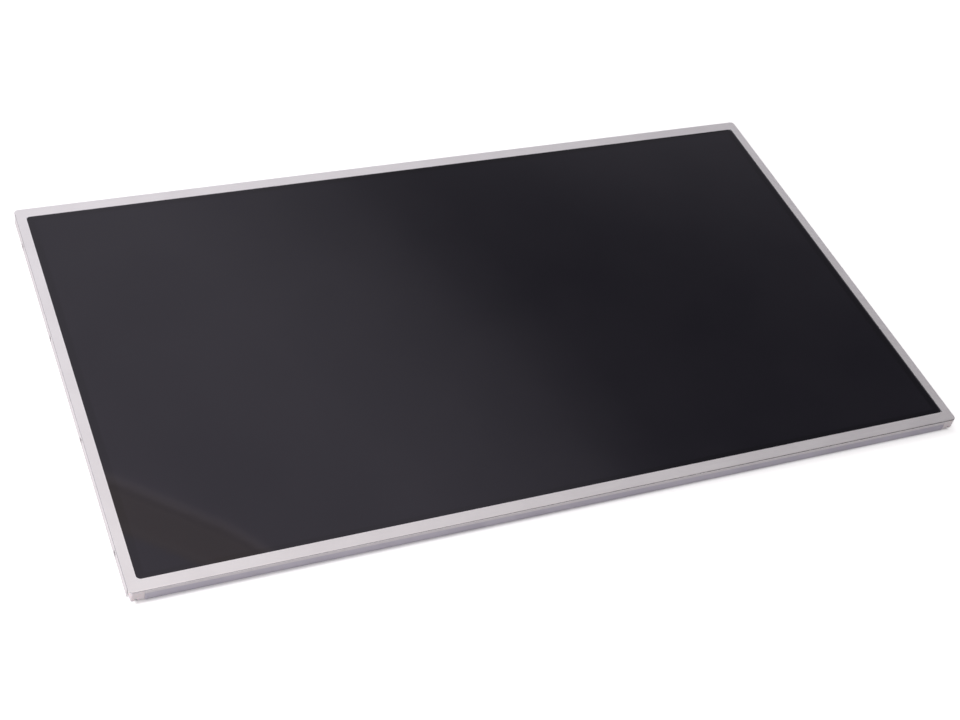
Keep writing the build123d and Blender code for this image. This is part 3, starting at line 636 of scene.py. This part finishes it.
# Tin end caps of the chip capacitors
caps = []
for group_x in capacitor_groups:
    for column in in_row(capacitor_columns, capacitor_pitch):
        for row in (-capacitor_row, capacitor_row):
            for end in (-capacitor_end, capacitor_end):
                cap_y = board_middle_y + row + end
                caps.append((group_x + column, cap_y, board_face_z, end_cap_size, 0, 0))
for film_x in film_columns:
    for column in in_row(small_capacitor_columns, small_capacitor_pitch):
        for end in (-small_capacitor_end, small_capacitor_end):
            cap_y = small_capacitor_y + end
            caps.append((film_x + column, cap_y, board_face_z, small_end_cap_size, 0, 0))
repeated_piece("capacitor_end_caps", end_cap, tinned, caps, 0.0, 3)

# Solder at the pads of the chip packages and at the feet of the connector's contacts
toes = []
for package_x, package_size, pad_count in packages:
    out = package_size / 2
    for side in range(4):
        for along in in_row(pad_count, package_pitch):
            x, y = ((out, along), (along, out), (-out, along), (along, -out))[side]
            toes.append((package_x + x, board_middle_y + y, board_face_z, package_toe_size, 0, side))
for column in in_row(contact_count, contact_pitch):
    toes.append((contact_toe[0] + column, contact_toe[1], board_face_z, contact_toe_size, 0, -1))
repeated_piece("solder_toes", solder_toe, tinned, toes, 0.12, 11)

# Gold test pads along the board's upper edge
pads = [(group_x + column, test_row_y, board_face_z, test_pad_size, 0, 0)
        for group_x, pad_count in test_groups for column in in_row(pad_count, test_pitch)]
repeated_piece("test_pads", pad_disc, gold, pads, 0.0, 5)

# Yellow windows of the lamps, towards the light guide
lenses = [(column, lamp_face_y, lamp_face_z, lamp_window_size, -1, 0)
          for column in in_row(lamp_count, lamp_pitch)]
repeated_piece("lamp_windows", lamp_lens, phosphor, lenses, 0.0, 7)
for spare in (end_cap, pad_disc, lamp_lens, solder_toe):
    spare_mesh = spare.data
    bpy.data.objects.remove(spare)
    bpy.data.meshes.remove(spare_mesh)

# Stage: a pale floor kept white round the panel by a painted glow, which fades out close to the panel so
# that its shadow shows
floor_mesh = bpy.data.meshes.new("studio_floor")
floor_corners = [(-floor_half, -floor_half, 0), (floor_half, -floor_half, 0),
                 (floor_half, floor_half, 0), (-floor_half, floor_half, 0)]
floor_mesh.from_pydata(floor_corners, [], [(0, 1, 2, 3)])
floor = bpy.data.objects.new("studio_floor", floor_mesh)
scene.collection.objects.link(floor)
floor.location.z = -floor_gap
floor_paint = bpy.data.materials.new("floor_paint")
floor_paint.use_nodes = True
paint = floor_paint.node_tree
paint.nodes.clear()
seen = wire(paint, "ShaderNodeLightPath")
mirrored = sum_of(paint, "MAXIMUM", seen.outputs["Is Glossy Ray"], seen.outputs["Is Transmission Ray"])
shown = sum_of(paint, "MAXIMUM", seen.outputs["Is Camera Ray"], mirrored)
spot = wire(paint, "ShaderNodeTexCoord").outputs["Object"]
spot_x, spot_y, _ = wire(paint, "ShaderNodeSeparateXYZ", {0: spot}).outputs
# Darker to the right, so that less light comes off it on to the near wall there
to_dark = fade(paint, spot_x, -0.15, 0.25, 0.0, 1.0)
tone = between(paint, to_dark, (0.88, 0.87, 0.88, 1), (0.63, 0.623, 0.63, 1))
matt = wire(paint, "ShaderNodeBsdfDiffuse", {"Color": tone})
# Distance from the panel's outline, in metres: the floor's painted glow fades out close to it, so that the
# floor's real shade shows there as a contact shadow
off_x = sum_of(paint, "SUBTRACT", sum_of(paint, "ABSOLUTE", spot_x), panel_half_x / 1000)
off_y = sum_of(paint, "SUBTRACT", sum_of(paint, "ABSOLUTE", spot_y), panel_half_y / 1000)
# Painted shadow: the glow fades out further from the near edge at the left than at the right, which widens
# the contact shadow at the left foot
off_y = sum_of(paint, "SUBTRACT", off_y, fade(paint, spot_x, -0.2, 0.2, 0.0007, -0.0003))
clear_of = sum_of(paint, "MAXIMUM", sum_of(paint, "ADD", off_x, 0.003), off_y)
at_foot = fade(paint, clear_of, -0.0005, 0.0013, 0.0, 0.5)
further_out = fade(paint, clear_of, 0.0, 0.007, 0.0, 0.19)
white = sum_of(paint, "MULTIPLY", shown, sum_of(paint, "ADD", at_foot, further_out))
glow = wire(paint, "ShaderNodeEmission", {"Color": (1, 1, 1, 1), "Strength": white})
both = wire(paint, "ShaderNodeAddShader", {0: matt.outputs[0], 1: glow.outputs[0]})
wire(paint, "ShaderNodeOutputMaterial", {"Surface": both.outputs[0]})
floor_mesh.materials.append(floor_paint)

# Studio: bright on the left, falling off along a slant to the right and to the front,
# pale all round the horizon
studio = bpy.data.worlds.new("studio")
scene.world = studio
studio.use_nodes = True
sky = studio.node_tree
sky.nodes.clear()
heading = wire(sky, "ShaderNodeTexCoord").outputs["Generated"]
to_right, to_back, to_top = wire(sky, "ShaderNodeSeparateXYZ", {0: heading}).outputs
lower = sum_of(sky, "SUBTRACT", 0.68, to_top)
slant = sum_of(sky, "ADD", to_right, sum_of(sky, "MULTIPLY", lower, 1.2))
slant = wire(sky, "ShaderNodeMapRange", {"Value": slant, "From Min": -1.0, "From Max": 1.0}).outputs[0]
side_fall = wire(sky, "ShaderNodeValToRGB", {0: slant})
ramp = side_fall.color_ramp.elements
ramp[0].position, ramp[0].color = 0.0, (0.7, 0.685, 0.7, 1)
ramp[1].position, ramp[1].color = 1.0, (0.14, 0.137, 0.14, 1)
side_levels = ((0.3, 0.82), (0.42, 0.92), (0.5, 0.83), (0.55, 0.73), (0.61, 0.69), (0.65, 0.54),
               (0.675, 0.4), (0.6925, 0.26), (0.71, 0.17), (0.74, 0.125), (0.82, 0.115))
for place, level in side_levels:
    stop = ramp.new(place)
    stop.color = (level, level * 0.98, level, 1)
pale = (0.95, 0.935, 0.95, 1)
middle = (0.95, 0.93, 0.95, 1)
grey = (0.38, 0.372, 0.385, 1)
back_low = between(sky, fade(sky, to_right, -0.5, 0.1, 0.0, 1.0), grey, middle)
back_low = between(sky, fade(sky, to_right, 0.4, 0.62, 0.0, 1.0), back_low, grey)
back_wall = between(sky, fade(sky, to_top, 0.45, 0.66, 1.0, 0.0), side_fall.outputs[0], back_low)
front_left = fade(sky, to_right, -0.2, 0.1, 0.5, 1.0)
front_right = fade(sky, to_right, 0.2, 0.5, 1.1, 0.05)
front_level = sum_of(sky, "MULTIPLY", front_left, front_right)
front_fall = fade(sky, to_back, -0.3, 0.3, front_level, 1.0)
overhead = fade(sky, to_top, 0.83, 0.93, 1.0, 1.2)
walls = multiplied(sky, back_wall, sum_of(sky, "MULTIPLY", front_fall, overhead))
low_front = fade(sky, to_back, -0.2, 0.2, fade(sky, to_right, -0.3, 0.7, 1.0, 0.18), 1.0)
horizon = multiplied(sky, pale, low_front)
whole = between(sky, fade(sky, to_top, 0.06, 0.24, 1.0, 0.0), walls, horizon)
# A pale ledge high behind the panel over a warmer board, which the screen mirrors as a streak
ledge_plane = (0.5463, 0.5949, -0.5896)
ledge_off = wire(sky, "ShaderNodeVectorMath", {0: heading, 1: ledge_plane}, operation="DOT_PRODUCT")
past_bend = sum_of(sky, "MAXIMUM", sum_of(sky, "SUBTRACT", to_right, 0.2), 0.0)
bend = sum_of(sky, "MULTIPLY", sum_of(sky, "POWER", past_bend, 2.0), 5.7)
ledge_off = sum_of(sky, "ADD", ledge_off.outputs["Value"], bend)
wires = {"Value": ledge_off, "From Min": -0.03, "From Max": 0.012}
ledge_place = wire(sky, "ShaderNodeMapRange", wires).outputs[0]
ledge = wire(sky, "ShaderNodeValToRGB", {0: ledge_place})
steps = ledge.color_ramp.elements
steps[0].position, steps[0].color = 0.0, (0.5, 0.5, 0.5, 1)
steps[1].position, steps[1].color = 1.0, (0.5, 0.5, 0.5, 1)
# Each line of the ledge: its place and half of what it leaves of the studio's light
ledge_lines = ((0.095, 0.5, 0.5, 0.5), (0.155, 0.535, 0.505, 0.44), (0.214, 0.585, 0.55, 0.48),
               (0.274, 0.545, 0.508, 0.44), (0.571, 0.54, 0.503, 0.435), (0.607, 0.58, 0.54, 0.465),
               (0.643, 0.495, 0.462, 0.405), (0.69, 0.51, 0.478, 0.42), (0.738, 0.66, 0.625, 0.575),
               (0.8, 0.65, 0.63, 0.61), (0.87, 0.52, 0.515, 0.52))
for place, red, green, blue in ledge_lines:
    stop = steps.new(place)
    stop.color = (red, green, blue, 1)
left_end = fade(sky, to_right, 0.0, 0.08, 0.0, 1.0)
right_end = fade(sky, to_right, 0.32, 0.4, 1.0, 0.0)
reach = sum_of(sky, "MULTIPLY", right_end, left_end)
reach = sum_of(sky, "MULTIPLY", reach, fade(sky, to_back, 0.3, 0.45, 0.0, 1.0))
wires = {0: ledge.outputs[0], 1: (2, 2, 2)}
ledge_share = wire(sky, "ShaderNodeVectorMath", wires, operation="MULTIPLY").outputs[0]
whole = multiplied(sky, whole, ledge_share, reach)
# Warm overhead, a little cool low down
warmth = fade(sky, to_top, 0.76, 0.92, 0.0, 1.0)
tint = between(sky, warmth, (0.98, 0.99, 1.02, 1), (1.05, 0.99, 0.94, 1))
whole = multiplied(sky, whole, tint)
backing = wire(sky, "ShaderNodeBackground", {"Color": whole, "Strength": 1.0})
wire(sky, "ShaderNodeOutputWorld", {"Surface": backing.outputs[0]})

# Softbox for the left wall and corner, which shiny surfaces don't mirror
softbox_data = bpy.data.lights.new("left_softbox", "AREA")
softbox_data.shape = "RECTANGLE"
softbox_data.size = 0.6
softbox_data.size_y = 0.6
softbox_data.energy = 4.0
softbox = bpy.data.objects.new("left_softbox", softbox_data)
scene.collection.objects.link(softbox)
softbox.visible_glossy = False
softbox.location = (-0.8, -0.18, 0.35)
softbox.rotation_mode = "QUATERNION"
softbox.rotation_quaternion = (-softbox.location).to_track_quat("-Z", "Y")

# Camera at the photograph's place
camera_data = bpy.data.cameras.new("camera")
camera_data.sensor_width = 36.0
camera_data.lens = 61.9
camera_data.shift_x = 0.0082
camera_data.shift_y = -0.0019
camera = bpy.data.objects.new("camera", camera_data)
scene.collection.objects.link(camera)
camera.location = (-0.26687, -0.44715, 0.48874)
aim = Vector((-0.01277, -0.01841, 0.0)) - camera.location
camera.rotation_mode = "QUATERNION"
roll = Quaternion((0, 0, 1), 0.22305)
camera.rotation_quaternion = aim.to_track_quat("-Z", "Y") @ roll
scene.camera = camera

scene.view_settings.view_transform = "Standard"

bpy.context.view_layer.update()
